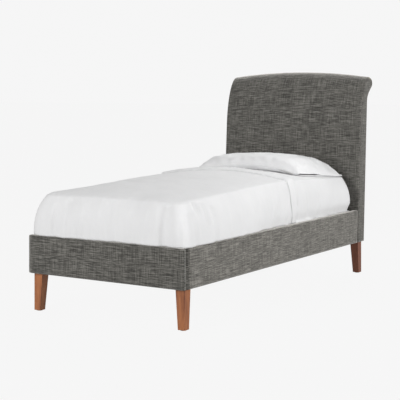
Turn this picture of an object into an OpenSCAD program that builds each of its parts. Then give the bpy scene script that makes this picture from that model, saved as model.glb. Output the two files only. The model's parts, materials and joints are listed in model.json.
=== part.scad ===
// Upholstered sleigh bed for a 38 x 80 in mattress: a low padded base on four square
// tapered legs, and a padded headboard whose top sweeps back over a crowned scroll.
// X runs across the bed, Y from foot to head, Z up; the floor is z = 0.
// Helpers draw with the outer face of the foot rail at y = 0; each node then moves
// half of the overall length towards the foot, so the origin is under the middle.

/* [Mattress and bedding] */
// Width of the mattress
mattress_w = 965; // [760:5:1400]
// Length of the mattress
mattress_l = 2032; // [1600:1:2200]
// Thickness of the mattress at its edge
mattress_t = 318; // [200:2:360]
// Extra height in the middle of the mattress
mattress_crown = 52; // [10:2:80]
// Corner radius of the mattress, seen from above
mattress_r = 75; // [40:5:120]
// Radius of the mattress's top edge
mattress_edge_r = 58; // [20:2:70]
// Thickness of the fitted sheet
fitted_sheet_t = 1.5; // [1:0.5:3]
// Thickness of the top sheet
top_sheet_t = 1.5; // [1:0.5:3]
// Length of the mattress that the top sheet covers
top_sheet_cover = 1225; // [600:5:1500]
// Gap between the mattress and each side rail, for tucked bedding
side_gap = 4.5; // [4:0.5:20]
// Gap between the mattress and the foot rail
foot_gap = 20; // [5:1:40]
// Gap between the mattress and the bottom of the headboard
head_gap = 29; // [5:1:60]
// Width of the pillow, across the bed
pillow_w = 900; // [500:10:920]
// Depth of the pillow, along the bed
pillow_d = 460; // [350:10:520]
// Thickness of the pillow
pillow_t = 96; // [60:2:160]
// Distance of the pillow from the head end of the mattress
pillow_back = 8; // [0:1:60]
// Empty end of the pillowcase past the pillow
pillowcase_flap = 30; // [0:5:80]
// Thickness of the pillowcase's cloth
pillowcase_t = 1.5; // [1:0.5:3]

/* [Base] */
// Height of the upholstered rails
rail_h = 213; // [140:1:320]
// Thickness of the boards inside the rails
rail_board_t = 22; // [15:1:40]
// Foam on the outside of the rails
rail_foam_t = 12; // [5:1:30]
// Foam on top of the rails
rail_top_foam_t = 8; // [3:1:20]
// Thickness of the upholstery fabric
cover_t = 2; // [1:0.5:4]
// Set-back of the side rails from the ends of the foot rail
side_recess = 5; // [0:1:20]
// Diameter of the welt cord down the front corners
welt_d = 7; // [4:0.5:12]
// Depth from the top of the rails down to the slats
mattress_sink = 81; // [50:1:110]

/* [Slats] */
// Width of each slat
slat_w = 70; // [40:5:100]
// Thickness of each slat
slat_t = 20; // [10:1:30]
// Height of the ledger under the slats
ledger_h = 35; // [20:1:60]
// Thickness of the ledger
ledger_t = 25; // [15:1:40]
// Width of the webbing tape under the slats
tape_w = 30; // [15:1:60]
// Thickness of the webbing tape
tape_t = 1.5; // [1:0.5:3]
// Distance of each tape from the middle of the bed
tape_x = 300; // [150:10:340]

/* [Legs] */
// Height of the legs, with their glides
leg_h = 216; // [100:1:300]
// Side of the square leg at its top
leg_top = 57; // [45:1:70]
// Side of the square leg at its foot
leg_foot = 42.5; // [25:0.5:45]
// Set-back of the legs from the sides of the bed
leg_inset_x = 20; // [10:1:25]
// Set-back of the front legs from the face of the foot rail
leg_inset_y = 25; // [15:1:30]
// Thickness of the felt-faced glide under each leg
glide_t = 3; // [2:0.5:6]
// Diameter of the glide
glide_d = 32; // [15:1:38]

/* [Headboard] */
// Height of the headboard's top at its ends
head_h = 1333; // [1150:1:1600]
// Extra height of the headboard's top in the middle
head_crown = 35; // [0:1:60]
// Thickness of the headboard
head_t = 103; // [90:1:140]
// Backward lean of the headboard, in degrees
head_lean = 3.3; // [0:0.1:6]
// Height below the top where the front starts to sweep back
sweep_drop = 335; // [220:5:420]
// Reach of the sweep from the front face back to the highest line
sweep_reach = 141; // [100:1:180]
// Radius of the scroll's nose
nose_r = 32; // [30:1:40]
// Distance of the nose's centre behind the highest line
nose_back = 27; // [15:1:40]
// Drop of the nose's centre below the highest line
nose_drop = 41; // [38:1:55]
// Drop from the top to where the scroll's underside meets the rear face
scroll_drop = 168; // [120:2:200]
// Foam on the front of the headboard
head_foam_t = 23; // [10:1:26]
// Thickness of the headboard's front board
head_board_t = 6; // [4:1:12]
// Thickness of the bent board over the scroll
scroll_board_t = 3; // [2:0.5:3]
// Width of each headboard post
post_w = 75; // [70:1:100]
// Height of each cross rail
cross_h = 60; // [40:1:90]
// Depth of each cross rail
cross_d = 38; // [20:1:45]
// Thickness of each scroll rib
rib_t = 18; // [9:1:25]

/* [Hardware] */
// Side of the square corner block
block_s = 50; // [45:1:60]
// Height of the corner block
block_h = 60; // [45:1:62]
// Diameter of the leg bolts
leg_bolt_d = 8; // [6:1:10]
// Depth of each leg bolt in its leg
leg_bolt_in = 50; // [30:1:70]
// Diameter of the corner and bracket bolts
bolt_d = 6; // [5:1:8]
// Diameter of the wood screws
screw_d = 4.5; // [3:0.5:6]
// Thickness of the steel brackets and washers
steel_t = 3; // [2:0.5:4]
// Room around a bolt or screw in the hole that it passes through
hole_gap = 0.25; // [0.1:0.05:1]

/* [Hidden] */
$fn = 32;
SLATS = 13;
RIBS = 5;
STATIONS = 12;
slat_names = [for (i = [1:SLATS]) str("slat_", i < 10 ? "0" : "", i)];

fabric = [0.40, 0.39, 0.36];
timber = [0.86, 0.74, 0.55];
plywood = [0.80, 0.66, 0.46];
stained = [0.62, 0.38, 0.26];
foam = [0.93, 0.88, 0.70];
steel = [0.70, 0.71, 0.73];
nylon = [0.25, 0.22, 0.20];
cloth = [0.93, 0.93, 0.93];

// Base, worked out from the mattress outwards
rail_t = rail_board_t + rail_foam_t + 2 * cover_t;
inner_x = mattress_w / 2 + side_gap;
rail_x = inner_x + rail_t;
half_w = rail_x + side_recess;
rail_top = leg_h + rail_h;
mattress_y = rail_t + foot_gap;
head_y = mattress_y + mattress_l + head_gap;
slat_z = rail_top - mattress_sink;
ledger_z = slat_z - slat_t - ledger_h;
body_gap = 0.4;
rib_gap = 0.5;
rib_rear_gap = 3;
wood_gap = 0.05;
bolt_end = 2;
nut_h = 6.5;

// Headboard, seen from the side
lean_k = tan(head_lean);
slope_k = 1 / cos(head_lean);
sweep_z = head_h - sweep_drop;
crest_y = head_y + lean_k * (sweep_z - leg_h) + sweep_reach;
nose_y = crest_y + nose_back;
nose_z = head_h - nose_drop;
under_z = head_h - scroll_drop;
frame_in = cover_t + head_foam_t + head_board_t;
scroll_in = cover_t + head_foam_t + scroll_board_t;
total_l = nose_y + nose_r;
post_in = half_w - cover_t - post_w;

// Legs
leg_x = half_w - leg_inset_x;
front_bolt = [inner_x - 0.34 * block_s, rail_t + 0.56 * block_s];
back_leg_y = head_y + head_t * slope_k - leg_top;
back_bolt = [leg_x - leg_top / 2, back_leg_y + leg_top / 2];

// Mattress
mattress_z = slat_z + body_gap;
edge_z = mattress_z + mattress_t;
pillow_y = mattress_y + mattress_l - pillow_d / 2 - pillow_back;

// ---------------------------------------------------------------- helpers

// Puts a piece drawn from the foot rail's face into the bed's frame
module placed() {
    translate([0, -total_l / 2, 0]) children();
}

// Repeats a piece that is drawn on the right on the chosen side, -1 left or 1 right
module on_side(side) {
    placed() mirror([side < 0 ? 1 : 0, 0, 0]) children();
}

module on_both_sides() {
    for (side = [-1, 1]) on_side(side) children();
}

// Extrudes an outline of [y, z] points along X, from x0 to x1
module along_x(x0, x1, outline) {
    translate([x0, 0, 0]) rotate([90, 0, 90]) linear_extrude(x1 - x0) polygon(outline);
}

function bezier(a, b, c, d, n) = [for (i = [0:n]) let (t = i / n, s = 1 - t)
    s * s * s * a + 3 * s * s * t * b + 3 * s * t * t * c + t * t * t * d];
function reversed(list) = [for (i = [len(list) - 1:-1:0]) list[i]];
function tail(list) = [for (i = [1:len(list) - 1]) list[i]];
function smooth(t) = let (u = min(max(t, 0), 1)) u * u * (3 - 2 * u);

// Front and rear faces of the headboard, inset by d
function front_y(z, d = 0) = head_y + lean_k * (z - leg_h) + d * slope_k;
function rear_y(z, d = 0) = head_y + lean_k * (z - leg_h) + (head_t - d) * slope_k;

// From the start of the sweep over the crest and round the nose, inset by d
function sweep_path(d) = let (
    start = [front_y(sweep_z, d), sweep_z],
    crest = [crest_y, head_h - d],
    reach = crest[0] - start[0],
    rise = crest[1] - start[1],
    nose = [nose_y, nose_z],
    r = nose_r - d,
    shoulder = nose + r * [cos(75), sin(75)],
    handle = 0.36 * (shoulder[0] - crest[0]))
    concat(
        bezier(start, start + 0.55 * rise * [lean_k, 1], crest - [0.5 * reach, 0], crest, 14),
        tail(bezier(crest, crest + [handle, 0], shoulder - handle * [sin(75), -cos(75)],
            shoulder, 4)),
        [for (a = [60:-15:-50]) nose + r * [cos(a), sin(a)]],
        [nose + r * [cos(-50), sin(-50)]]);

// From under the nose in to the top of the rear face
function under_path(d, rear_d) = let (
    path = sweep_path(d),
    tip = path[len(path) - 1],
    foot = [rear_y(under_z, rear_d), under_z],
    run = 0.6 * (tip[0] - foot[0]))
    bezier(tip, tip - 1.25 * run * [cos(40), sin(40)], foot + run * [lean_k, 1], foot, 10);

// The sweep, carried on under the nose down to the rear face
function scroll_path(d, rear_d) = concat(sweep_path(d), tail(under_path(d, rear_d)));

// The whole outline, from the bottom of the front to the bottom of the rear
function head_outline(d, rear_d) = concat([[front_y(leg_h, d), leg_h]],
    scroll_path(d, rear_d), [[rear_y(leg_h, rear_d), leg_h]]);

// Extra height of an outline at x, growing from the start of the sweep to the top
function crown_at(x) = head_crown * (1 - pow(x / half_w, 2));
function crowned(outline, x) = [for (p = outline)
    [p[0], p[1] + crown_at(x) * smooth((p[1] - sweep_z) / (sweep_drop * 0.75))]];

// Solid between an outline's copies along X, each raised to follow the crown; every
// square is split the same way in space, so that layers lie against each other
module crowned_loft(x0, x1, outline) {
    n = len(outline);
    m = STATIONS;
    points = [for (j = [0:m]) let (x = x0 + (x1 - x0) * j / m)
        for (p = crowned(outline, x)) [x, p[0], p[1]]];
    sides = [for (j = [0:m - 1], i = [0:n - 1]) let (
        a = j * n + i, b = j * n + (i + 1) % n, c = b + n, d = a + n)
        each outline[i][0] < outline[(i + 1) % n][0]
            ? [[a, b, c], [a, c, d]]
            : [[a, b, d], [b, c, d]]];
    caps = [for (i = [0:n / 2 - 2]) let (a = i, b = i + 1, c = n - 2 - i, d = n - 1 - i)
        each [[d, c, b, a], [for (k = [a, b, c, d]) m * n + k]]];
    polyhedron(points, concat(sides, caps), convexity = 8);
}

// Point i of n on a rounded rectangle of half sizes a and b, corner radius r
function round_rect(a, b, r, n) = [for (q = [0:3], i = [0:n]) let (
    sx = q == 0 || q == 3 ? 1 : -1,
    sy = q < 2 ? 1 : -1,
    t = q * 90 + 90 * i / n)
    [sx * (a - r) + r * cos(t), sy * (b - r) + r * sin(t)]];

// Rounded block with a domed top: half sizes a and b, bottom z0, edge height z1,
// corner radius r, top-edge radius e, dome height h, bottom-edge radius u
module domed_block(a, b, z0, z1, r, e, h, u = 8) {
    under = [for (t = [0:30:90]) [u * (1 - sin(t)), z0 + u * (1 - cos(t))]];
    edge = [for (t = [0:15:90]) [e * (1 - cos(t)), z1 - e + e * sin(t)]];
    dome = [for (s = [0.8, 0.6, 0.4, 0.2]) [e + (a - e) * (1 - s), z1 + h * (1 - s * s)]];
    levels = concat(under, edge, dome);
    flat = round_rect(a - e, b - e, r - e, 4);
    rings = [for (v = levels) let (k = (a - v[0]) / (a - e)) v[0] <= e
        ? [for (p = round_rect(a - v[0], b - v[0], r - v[0], 4)) [p[0], p[1], v[1]]]
        : [for (p = flat) [k * p[0], k * p[1], v[1]]]];
    n = len(rings[0]);
    m = len(rings);
    points = concat([for (ring = rings) each ring], [[0, 0, z0], [0, 0, z1 + h]]);
    sides = [for (j = [0:m - 2], i = [0:n - 1]) let (
        p = j * n + i, q = j * n + (i + 1) % n) each [[p, q + n, q], [p, p + n, q + n]]];
    floor_fan = [for (i = [0:n - 1]) [m * n, i, (i + 1) % n]];
    top_fan = [for (i = [0:n - 1]) [m * n + 1, (m - 1) * n + (i + 1) % n, (m - 1) * n + i]];
    polyhedron(points, concat(sides, floor_fan, top_fan), convexity = 4);
}

// Rod with a head, along +Z from the origin; the head lies below it
module bolt(d, length, head_d, head_h) {
    cylinder(d = d, h = length);
    translate([0, 0, -head_h]) cylinder(d = head_d, h = head_h);
}

module hole(d, length) {
    translate([0, 0, -1]) cylinder(d = d + 2 * hole_gap, h = length + 2);
}

// ------------------------------------------------------------------- legs

// Square leg: the two outer faces are upright, the two inner faces taper to the foot
module leg(y0, inner_y) {
    taper = leg_top - leg_foot;
    foot_y = inner_y ? [y0, y0 + leg_foot] : [y0 + taper, y0 + leg_top];
    intersection() {
        along_x(leg_x - leg_top, leg_x,
            [[y0, leg_h], [y0 + leg_top, leg_h], [foot_y[1], glide_t], [foot_y[0], glide_t]]);
        translate([0, y0 + leg_top, 0]) rotate([90, 0, 0]) linear_extrude(leg_top)
            polygon([[leg_x - leg_top, leg_h], [leg_x, leg_h], [leg_x, glide_t],
                [leg_x - leg_foot, glide_t]]);
    }
}

module leg_front(side) {
    color(stained) on_side(side) difference() {
        leg(leg_inset_y, true);
        translate([front_bolt[0], front_bolt[1], leg_h - leg_bolt_in])
            cylinder(d = leg_bolt_d, h = leg_bolt_in + 1);
    }
}

module leg_back(side) {
    color(stained) on_side(side) difference() {
        leg(back_leg_y, false);
        translate([back_bolt[0], back_bolt[1], leg_h - leg_bolt_in])
            cylinder(d = leg_bolt_d, h = leg_bolt_in + 1);
    }
}

module leg_glides() {
    color(nylon) on_both_sides()
        for (y = [leg_inset_y + leg_foot / 2, back_leg_y + leg_top - leg_foot / 2])
            translate([leg_x - leg_foot / 2, y, 0]) cylinder(d = glide_d, h = glide_t);
}

module leg_bolts() {
    color(steel) on_both_sides() {
        translate([front_bolt[0], front_bolt[1], leg_h - leg_bolt_in])
            cylinder(d = leg_bolt_d,
                h = leg_bolt_in + block_h + steel_t / 2 + nut_h + bolt_end);
        translate([back_bolt[0], back_bolt[1], leg_h - leg_bolt_in])
            cylinder(d = leg_bolt_d, h = 2 * leg_bolt_in);
    }
}

// Washer and nut above each front corner block
module leg_nuts() {
    color(steel) on_both_sides() translate([front_bolt[0], front_bolt[1], leg_h + block_h])
        difference() {
            union() {
                cylinder(d = 2.2 * leg_bolt_d, h = steel_t / 2);
                cylinder(d = 1.8 * leg_bolt_d, h = steel_t / 2 + nut_h, $fn = 6);
            }
            translate([0, 0, -1]) cylinder(d = leg_bolt_d, h = steel_t + nut_h + 2);
        }
}

// ------------------------------------------------------------------- base

// Side rail pieces, from u0 to u1 inwards from the outer face and z0 to z1 up,
// running over the rail's two ends by the length given
module rail_strip(u0, u1, z0, z1, over = 0) {
    low = leg_h + z0;
    high = leg_h + z1;
    along_x(rail_x - u1, rail_x - u0, [[rail_t - over, low], [front_y(low) + over, low],
        [front_y(high) + over, high], [rail_t - over, high]]);
}

// Foot rail pieces, from u0 to u1 inwards from the face
module foot_strip(u0, u1, z0, z1, end) {
    translate([-end, u0, leg_h + z0]) cube([2 * end, u1 - u0, z1 - z0]);
}

board_top = rail_h - cover_t - rail_top_foam_t;
foam_top = rail_h - cover_t;
board_u = cover_t + rail_foam_t;
corner_bolt_z = leg_h + 0.72 * block_h;
side_bolt_z = leg_h + 0.28 * block_h;
corner_bolt_x = inner_x - 0.72 * block_s;
side_bolt_y = rail_t + 11;
bolt_in_board = rail_board_t - 4;

// The bolts that pass from a corner block into the foot rail and the side rail
module corner_bolt_pair(grow = 0) {
    d = bolt_d + 2 * grow;
    translate([corner_bolt_x, rail_t + block_s, corner_bolt_z]) rotate([90, 0, 0])
        bolt(d, block_s + cover_t + bolt_in_board, 2 * d, 4);
    translate([inner_x - block_s, side_bolt_y, side_bolt_z]) rotate([0, 90, 0])
        bolt(d, block_s + cover_t + bolt_in_board, 2 * d, 4);
}

bracket_arm = 60;
bracket_z0 = leg_h + 4;
bracket_z1 = ledger_z - 4;
bracket_bolt_z = [bracket_z0 + 14, bracket_z1 - 14];
bracket_bolt_x = post_in + 12;
bracket_bolt_y = head_y - 40;
bracket_post_in = 45;
bracket_room = 2;
board_in = cover_t + head_foam_t;

// Bolts through a bracket: two into the post, two into the side rail's board
module bracket_bolt_set(grow = 0) {
    d = bolt_d + 2 * grow;
    for (z = bracket_bolt_z) {
        translate([bracket_bolt_x, front_y(z - d, board_in) - steel_t, z]) rotate([-90, 0, 0])
            bolt(d, steel_t + head_board_t + bracket_post_in, 2 * d, 4);
        translate([inner_x - steel_t, bracket_bolt_y, z]) rotate([0, 90, 0])
            bolt(d, steel_t + cover_t + bolt_in_board, 2 * d, 4);
    }
}

ledger_y0 = rail_t + 2;
ledger_y1 = head_y - 6;
ledger_mid = ledger_z + ledger_h / 2;
ledger_screw_y = [for (i = [0:5]) ledger_y0 + 60 + i * (ledger_y1 - ledger_y0 - 120) / 5];

module ledger_screw_row(grow = 0) {
    d = screw_d + 2 * grow;
    for (y = ledger_screw_y) translate([inner_x - ledger_t, y, ledger_mid]) rotate([0, 90, 0])
        bolt(d, ledger_t + cover_t + bolt_in_board, 2 * d, 3);
}

module side_board(side) {
    color(timber) on_side(side) difference() {
        rail_strip(board_u, board_u + rail_board_t, 0, board_top);
        corner_bolt_pair();
        bracket_bolt_set();
        ledger_screw_row();
    }
}

module foot_board() {
    end = half_w - cover_t - rail_foam_t;
    color(timber) placed() difference() {
        foot_strip(board_u, board_u + rail_board_t, 0, board_top, end);
        for (side = [0, 1]) mirror([side, 0, 0]) corner_bolt_pair();
    }
}

module side_foam(side) {
    color(foam) on_side(side) union() {
        rail_strip(cover_t, board_u, 0, foam_top);
        rail_strip(board_u, board_u + rail_board_t, board_top, foam_top);
    }
}

module foot_foam() {
    end = half_w - cover_t;
    color(foam) placed() difference() {
        foot_strip(cover_t, board_u + rail_board_t, 0, foam_top, end);
        foot_strip(board_u, board_u + rail_board_t + 1, -1, board_top,
            half_w - cover_t - rail_foam_t);
        foot_welt_room();
    }
}

module side_cover(side) {
    color(fabric) on_side(side) difference() {
        rail_strip(0, rail_t, 0, rail_h);
        rail_strip(cover_t, rail_t - cover_t, -1, foam_top, 1);
        corner_bolt_pair(hole_gap);
        bracket_bolt_set(hole_gap);
        ledger_screw_row(hole_gap);
    }
}

module foot_cover() {
    end = half_w - cover_t;
    color(fabric) placed() difference() {
        foot_strip(0, rail_t, 0, rail_h, end);
        foot_strip(cover_t, rail_t - cover_t, -1, foam_top, end + 1);
        foot_welt_room();
        for (side = [0, 1]) mirror([side, 0, 0]) corner_bolt_pair(hole_gap);
    }
}

// Square room for the welt cord at each front corner, the full height of the rail
module foot_welt_room() {
    for (x = [-half_w, half_w - welt_d]) translate([x, 0, leg_h - 1])
        cube([welt_d, welt_d, rail_h + 2]);
}

module foot_end(side) {
    color(fabric) on_side(side) difference() {
        translate([half_w - cover_t, 0, leg_h]) cube([cover_t, rail_t, rail_h]);
        foot_welt_room();
    }
}

module foot_welts() {
    r = welt_d / 2;
    color(fabric) on_both_sides() translate([half_w - r, r, leg_h])
        cylinder(r = r, h = rail_h);
}

module corner_block(side) {
    color(timber) on_side(side) difference() {
        translate([inner_x - block_s, rail_t, leg_h]) cube([block_s, block_s, block_h]);
        corner_bolt_pair(hole_gap);
        translate([front_bolt[0], front_bolt[1], leg_h]) hole(leg_bolt_d, block_h);
    }
}

module corner_bolts() {
    color(steel) on_both_sides() corner_bolt_pair();
}

// Steel angle: one arm lies on the side rail, the other on the leaning front board
module head_bracket(side) {
    rear = [front_y(bracket_z0, board_in), front_y(bracket_z1, board_in)];
    color(steel) on_side(side) difference() {
        union() {
            along_x(inner_x - bracket_arm, inner_x,
                [[rear[0] - steel_t, bracket_z0], [rear[0], bracket_z0],
                [rear[1], bracket_z1], [rear[1] - steel_t, bracket_z1]]);
            along_x(inner_x - steel_t, inner_x,
                [[head_y - bracket_arm, bracket_z0], [rear[0], bracket_z0],
                [rear[1], bracket_z1], [head_y - bracket_arm, bracket_z1]]);
        }
        bracket_bolt_set(hole_gap);
    }
}

// Openings at the bottom of the headboard's foam and cover, where the brackets go in
module bracket_openings() {
    for (side = [0, 1]) mirror([side, 0, 0])
        translate([inner_x - bracket_arm - bracket_room, head_y - 1, leg_h - 1])
            cube([bracket_arm + bracket_room, board_in + 20, bracket_z1 + bracket_room
                - leg_h + 1]);
}

module bracket_bolts() {
    color(steel) on_both_sides() bracket_bolt_set();
}

module ledger(side) {
    color(timber) on_side(side) difference() {
        translate([inner_x - ledger_t, ledger_y0, ledger_z])
            cube([ledger_t, ledger_y1 - ledger_y0, ledger_h]);
        ledger_screw_row(hole_gap);
        slat_screw_set(hole_gap);
    }
}

module ledger_screws() {
    color(steel) on_both_sides() ledger_screw_row();
}

// ------------------------------------------------------------------ slats

slat_y0 = rail_t + 30;
slat_pitch = (ledger_y1 - 20 - slat_w - slat_y0) / (SLATS - 1);
function slat_y(i) = slat_y0 + i * slat_pitch;
slat_half = inner_x - 3;
slat_screw_x = inner_x - ledger_t / 2;

// One screw in each end of the first and the last slat
module slat_screw_set(grow = 0) {
    d = screw_d + 2 * grow;
    for (i = [0, SLATS - 1])
        translate([slat_screw_x, slat_y(i) + slat_w / 2, slat_z - 3]) mirror([0, 0, 1]) {
            cylinder(d = d, h = slat_t + 9);
            translate([0, 0, -3]) cylinder(d = 2 * d, h = 3);
        }
}

module slat(i) {
    color(timber) placed() difference() {
        translate([-slat_half, slat_y(i), slat_z - slat_t])
            cube([2 * slat_half, slat_w, slat_t]);
        if (i == 0 || i == SLATS - 1) for (side = [0, 1]) mirror([side, 0, 0])
            slat_screw_set(hole_gap);
    }
}

module slat_tapes() {
    color(cloth) on_both_sides()
        translate([tape_x - tape_w / 2, slat_y(0), slat_z - slat_t - tape_t])
            cube([tape_w, slat_y(SLATS - 1) + slat_w - slat_y(0), tape_t]);
}

module slat_screws() {
    color(steel) on_both_sides() slat_screw_set();
}

// -------------------------------------------------------------- headboard

module post(side) {
    color(timber) on_side(side) difference() {
        along_x(post_in, post_in + post_w, [[front_y(leg_h, frame_in), leg_h],
            [rear_y(leg_h, cover_t), leg_h], [rear_y(sweep_z, cover_t), sweep_z],
            [front_y(sweep_z, frame_in), sweep_z]]);
        bracket_bolt_set();
        translate([back_bolt[0], back_bolt[1], leg_h - 1])
            cylinder(d = leg_bolt_d, h = leg_bolt_in + 1);
    }
}

// Three cross rails between the posts, flush with the posts' front faces
module cross_rails() {
    low = leg_h + 12;
    high = sweep_z - cross_h;
    color(timber) placed() for (z = [low, (low + high) / 2, high])
        along_x(-post_in, post_in, [[front_y(z, frame_in + wood_gap), z],
            [front_y(z, frame_in + cross_d), z],
            [front_y(z + cross_h, frame_in + cross_d), z + cross_h],
            [front_y(z + cross_h, frame_in + wood_gap), z + cross_h]]);
}

// Ribs that carry the scroll, each cut to the crown's height where it stands
module scroll_ribs() {
    reach = half_w - cover_t - rib_t / 2;
    rear_in = cover_t + rib_rear_gap;
    side_view = concat(scroll_path(scroll_in + rib_gap, rear_in),
        [[rear_y(sweep_z, rear_in), sweep_z]]);
    color(plywood) placed() for (i = [0:RIBS - 1]) {
        x = -reach + 2 * reach * i / (RIBS - 1);
        along_x(x - rib_t / 2, x + rib_t / 2, crowned(side_view, abs(x) + rib_t / 2));
    }
}

module head_front_board() {
    reach = half_w - cover_t;
    front_in = board_in;
    color(plywood) on_side(1) difference() {
        along_x(-reach, reach, [[front_y(leg_h, front_in), leg_h],
            [front_y(leg_h, frame_in), leg_h], [front_y(sweep_z, frame_in), sweep_z],
            [front_y(sweep_z, front_in), sweep_z]]);
        for (side = [0, 1]) mirror([side, 0, 0]) bracket_bolt_set(hole_gap);
    }
}

module scroll_board() {
    reach = half_w - cover_t;
    color(plywood) placed() crowned_loft(-reach, reach,
        concat(sweep_path(scroll_in - scroll_board_t), reversed(sweep_path(scroll_in))));
}

module head_foam() {
    reach = half_w - cover_t;
    inner = board_in;
    color(foam) placed() difference() {
        crowned_loft(-reach, reach, concat(
            [[front_y(leg_h, cover_t), leg_h]], sweep_path(cover_t),
            reversed(sweep_path(inner)), [[front_y(leg_h, inner), leg_h]]));
        bracket_openings();
    }
}

module head_cover() {
    reach = half_w - cover_t;
    color(fabric) placed() difference() {
        crowned_loft(-reach, reach, concat(
            [[front_y(leg_h), leg_h]], sweep_path(0),
            reversed(sweep_path(cover_t)), [[front_y(leg_h, cover_t), leg_h]]));
        bracket_openings();
    }
}

// Cover of the hollow under the nose, between the front cover and the back panel
module scroll_back_cover() {
    reach = half_w - cover_t;
    color(fabric) placed() crowned_loft(-reach, reach,
        concat(under_path(0, 0), reversed(under_path(cover_t, cover_t))));
}

module head_end(side) {
    color(fabric) on_side(side) along_x(half_w - cover_t, half_w, head_outline(0, 0));
}

module head_back_cover() {
    reach = half_w - cover_t;
    levels = [leg_h, sweep_z, under_z];
    color(fabric) placed() crowned_loft(-reach, reach, concat(
        [for (z = levels) [rear_y(z, cover_t), z]],
        [for (z = reversed(levels)) [rear_y(z), z]]));
}

// ---------------------------------------------------------------- bedding

// The mattress grown by d on the sides and the top
module mattress_shape(d, z0) {
    translate([0, mattress_y + mattress_l / 2, 0])
        domed_block(mattress_w / 2 + d, mattress_l / 2 + d, z0, edge_z + d,
            mattress_r + d, mattress_edge_r + d, mattress_crown);
}

module mattress() {
    color(cloth) placed() mattress_shape(0, mattress_z);
}

skirt_z = mattress_z + 25;

module fitted_sheet() {
    color(cloth) placed() difference() {
        intersection() {
            mattress_shape(fitted_sheet_t, mattress_z);
            translate([-half_w, 0, skirt_z]) cube([2 * half_w, total_l, 2 * mattress_t]);
        }
        mattress_shape(0, mattress_z);
    }
}

module top_sheet() {
    color(cloth) placed() difference() {
        intersection() {
            mattress_shape(fitted_sheet_t + top_sheet_t, mattress_z);
            translate([-half_w, 0, skirt_z])
                cube([2 * half_w, mattress_y + top_sheet_cover, 2 * mattress_t]);
        }
        mattress_shape(fitted_sheet_t, mattress_z);
    }
}

pillow_z = edge_z + fitted_sheet_t + mattress_crown + body_gap;

// The pillow grown by d all round, with e more on the right for the empty flap
module pillow_shape(d, e = 0) {
    translate([e / 2, pillow_y, 0]) domed_block(pillow_w / 2 + d + e / 2, pillow_d / 2 + d,
        pillow_z + pillowcase_t - d, pillow_z + 0.7 * pillow_t + d, 0.35 * pillow_t + 30,
        0.35 * pillow_t, 0.3 * pillow_t, 0.25 * pillow_t);
}

module pillow() {
    color(cloth) placed() pillow_shape(0);
}

module pillowcase() {
    color(cloth) placed() difference() {
        pillow_shape(pillowcase_t, pillowcase_flap);
        pillow_shape(0);
        translate([pillow_w / 2 - pillow_t / 4, pillow_y - 0.36 * pillow_d,
            pillow_z + 0.3 * pillow_t])
            cube([pillowcase_flap + pillow_t, 0.72 * pillow_d, 0.3 * pillow_t]);
    }
}

leg_front(-1);  // leg_front_left
leg_front(1);  // leg_front_right
leg_back(-1);  // leg_back_left
leg_back(1);  // leg_back_right
leg_glides();
leg_bolts();
leg_nuts();
side_board(-1);  // side_board_left
side_board(1);  // side_board_right
foot_board();
side_foam(-1);  // side_foam_left
side_foam(1);  // side_foam_right
foot_foam();
side_cover(-1);  // side_cover_left
side_cover(1);  // side_cover_right
foot_cover();
foot_end(-1);  // foot_end_left
foot_end(1);  // foot_end_right
foot_welts();
corner_block(-1);  // corner_block_left
corner_block(1);  // corner_block_right
corner_bolts();
head_bracket(-1);  // head_bracket_left
head_bracket(1);  // head_bracket_right
bracket_bolts();
ledger(-1);  // ledger_left
ledger(1);  // ledger_right
ledger_screws();
for (i = [0:SLATS - 1]) slat(i);
slat_tapes();
slat_screws();
post(-1);  // post_left
post(1);  // post_right
cross_rails();
scroll_ribs();
head_front_board();
scroll_board();
head_foam();
head_cover();
head_end(-1);  // head_end_left
head_end(1);  // head_end_right
scroll_back_cover();
head_back_cover();
mattress();
fitted_sheet();
top_sheet();
pillow();
pillowcase();
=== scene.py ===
"""Upholstered sleigh bed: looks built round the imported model, in metres.

X runs across the bed, Y towards the head and Z up.
"""

import json
import math

import bmesh
import bpy
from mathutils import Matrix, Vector, noise


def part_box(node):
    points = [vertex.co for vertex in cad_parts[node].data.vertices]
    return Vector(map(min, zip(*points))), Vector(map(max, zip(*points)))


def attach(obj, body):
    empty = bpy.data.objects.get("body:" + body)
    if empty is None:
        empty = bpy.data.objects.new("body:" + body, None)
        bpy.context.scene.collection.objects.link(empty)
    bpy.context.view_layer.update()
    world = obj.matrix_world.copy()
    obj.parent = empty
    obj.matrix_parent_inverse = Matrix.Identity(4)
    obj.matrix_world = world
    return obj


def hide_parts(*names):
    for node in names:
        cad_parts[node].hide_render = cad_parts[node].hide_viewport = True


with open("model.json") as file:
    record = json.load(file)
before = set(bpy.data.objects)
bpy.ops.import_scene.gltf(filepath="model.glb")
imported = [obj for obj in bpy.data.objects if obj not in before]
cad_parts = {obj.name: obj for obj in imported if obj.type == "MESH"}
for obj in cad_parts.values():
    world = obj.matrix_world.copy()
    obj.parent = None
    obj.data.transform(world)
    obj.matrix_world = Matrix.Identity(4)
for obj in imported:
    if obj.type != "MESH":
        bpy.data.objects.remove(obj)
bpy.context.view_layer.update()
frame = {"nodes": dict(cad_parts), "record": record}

FOOT_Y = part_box("foot_cover")[0][1]          # outer face of the foot rail
RAIL_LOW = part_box("foot_cover")[0][2]
RAIL_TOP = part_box("foot_cover")[1][2]
HALF_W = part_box("head_end_right")[1][0]      # outer face of the headboard's end
RAIL_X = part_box("side_cover_right")[1][0]    # outer face of the side rail
RAIL_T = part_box("foot_cover")[1][1] - FOOT_Y
UPHOLSTERY_T = 0.0015        # thickness of the tweed as stretched on
SHEETING_T = 0.0012


# ------------------------------------------------------------------ small helpers

def clamp(t, low=0.0, high=1.0):
    return max(low, min(high, t))


def smooth(t):
    """Eased step from 0 to 1."""
    t = clamp(t)
    return t * t * (3 - 2 * t)


def lerp(a, b, t):
    return a + (b - a) * t


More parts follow.
